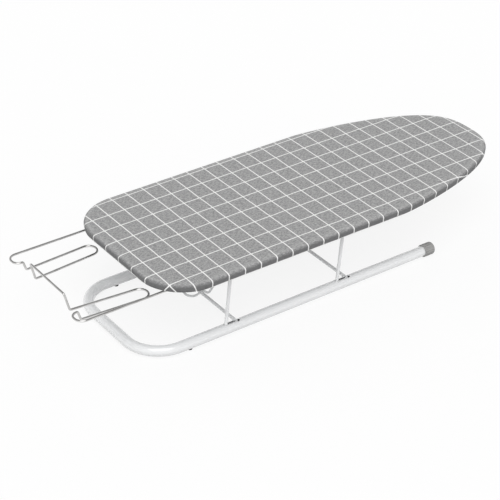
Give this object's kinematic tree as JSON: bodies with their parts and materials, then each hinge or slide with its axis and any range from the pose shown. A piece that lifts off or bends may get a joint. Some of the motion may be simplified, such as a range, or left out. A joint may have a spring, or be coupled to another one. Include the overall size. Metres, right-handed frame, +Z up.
{
  "type": "tabletop ironing board",
  "caption": "Tabletop ironing board: padded checked cover on folding wire legs over a U-shaped tube base, with a sliding wire iron rest.",
  "frame": {"origin": "on the table under the middle of the overall length and width", "axes": "+X along the board to its nose, +Y across to the far side, +Z up"},
  "size_m": [0.912, 0.325, 0.153],
  "materials": {
    "white_paint": "smooth baked white paint, half gloss",
    "cap_plastic": "moulded grey plastic with lengthwise ribs",
    "foot_rubber": "matt dark rubber",
    "chrome": "bright chrome plate",
    "cover_cloth": "plain-woven mid grey cloth with thin white checks",
    "pad_felt": "off-white needled felt",
    "plated_steel": "zinc-plated sheet steel",
    "nylon": "natural white nylon"
  },
  "bodies": {
    "base": {"base_tube": "white_paint", "end_cap_near": "cap_plastic", "end_cap_far": "cap_plastic", "foot_near": "foot_rubber", "foot_far": "foot_rubber"},
    "rear_leg": {"rear_leg": "white_paint"},
    "front_leg": {"front_leg": "white_paint"},
    "board": {"cover": "cover_cloth", "pad": "pad_felt", "deck": "plated_steel", "rim": "plated_steel", "end_channel": "plated_steel", "guide_channel": "plated_steel", "rear_channel": "plated_steel", "brace_channel": "plated_steel", "front_channel": "plated_steel", "leg_bracket_rear_near": "plated_steel", "leg_bracket_front_near": "plated_steel", "leg_bracket_rear_far": "plated_steel", "leg_bracket_front_far": "plated_steel", "rest_guide_rear_near": "nylon", "rest_guide_front_near": "nylon", "rest_guide_rear_far": "nylon", "rest_guide_front_far": "nylon", "brace_bracket": "plated_steel", "leg_bracket_rear_near_rivet_1": "plated_steel", "leg_bracket_rear_near_rivet_2": "plated_steel", "leg_bracket_front_near_rivet_1": "plated_steel", "leg_bracket_front_near_rivet_2": "plated_steel", "leg_bracket_rear_far_rivet_1": "plated_steel", "leg_bracket_rear_far_rivet_2": "plated_steel", "leg_bracket_front_far_rivet_1": "plated_steel", "leg_bracket_front_far_rivet_2": "plated_steel", "brace_bracket_rivet_1": "plated_steel", "brace_bracket_rivet_2": "plated_steel", "rest_guide_rear_near_rivet": "plated_steel", "rest_guide_front_near_rivet": "plated_steel", "rest_guide_rear_far_rivet": "plated_steel", "rest_guide_front_far_rivet": "plated_steel"},
    "iron_rest": {"iron_rest": "chrome"},
    "lock_brace": {"lock_brace": "white_paint"}
  },
  "joints": [
    {"name": "rear_leg_fold", "type": "hinge", "parent": "base", "child": "rear_leg", "pos_m": [-0.1517, 0, 0.0155], "axis": [0, 1, 0], "range_deg": [0, 82]},
    {"name": "front_leg_fold", "type": "hinge", "parent": "base", "child": "front_leg", "pos_m": [0.0833, 0, 0.0155], "axis": [0, 1, 0], "range_deg": [0, 82]},
    {"name": "board_hinge", "type": "hinge", "parent": "rear_leg", "child": "board", "pos_m": [-0.1648, 0, 0.125], "axis": [0, 1, 0], "range_deg": [-82, 0]},
    {"name": "brace_swing", "type": "hinge", "parent": "board", "child": "lock_brace", "pos_m": [-0.036, 0, 0.131], "axis": [0, 1, 0], "range_deg": [0, 37]},
    {"name": "rest_slide", "type": "slide", "parent": "board", "child": "iron_rest", "axis": [1, 0, 0], "range_m": [0, 0.123]}
  ],
  "couplings": [
    {"joint": "front_leg_fold", "follows": "rear_leg_fold", "ratio": 1},
    {"joint": "board_hinge", "follows": "rear_leg_fold", "ratio": -1},
    {"joint": "brace_swing", "follows": "rear_leg_fold", "ratio": 0.45}
  ]
}
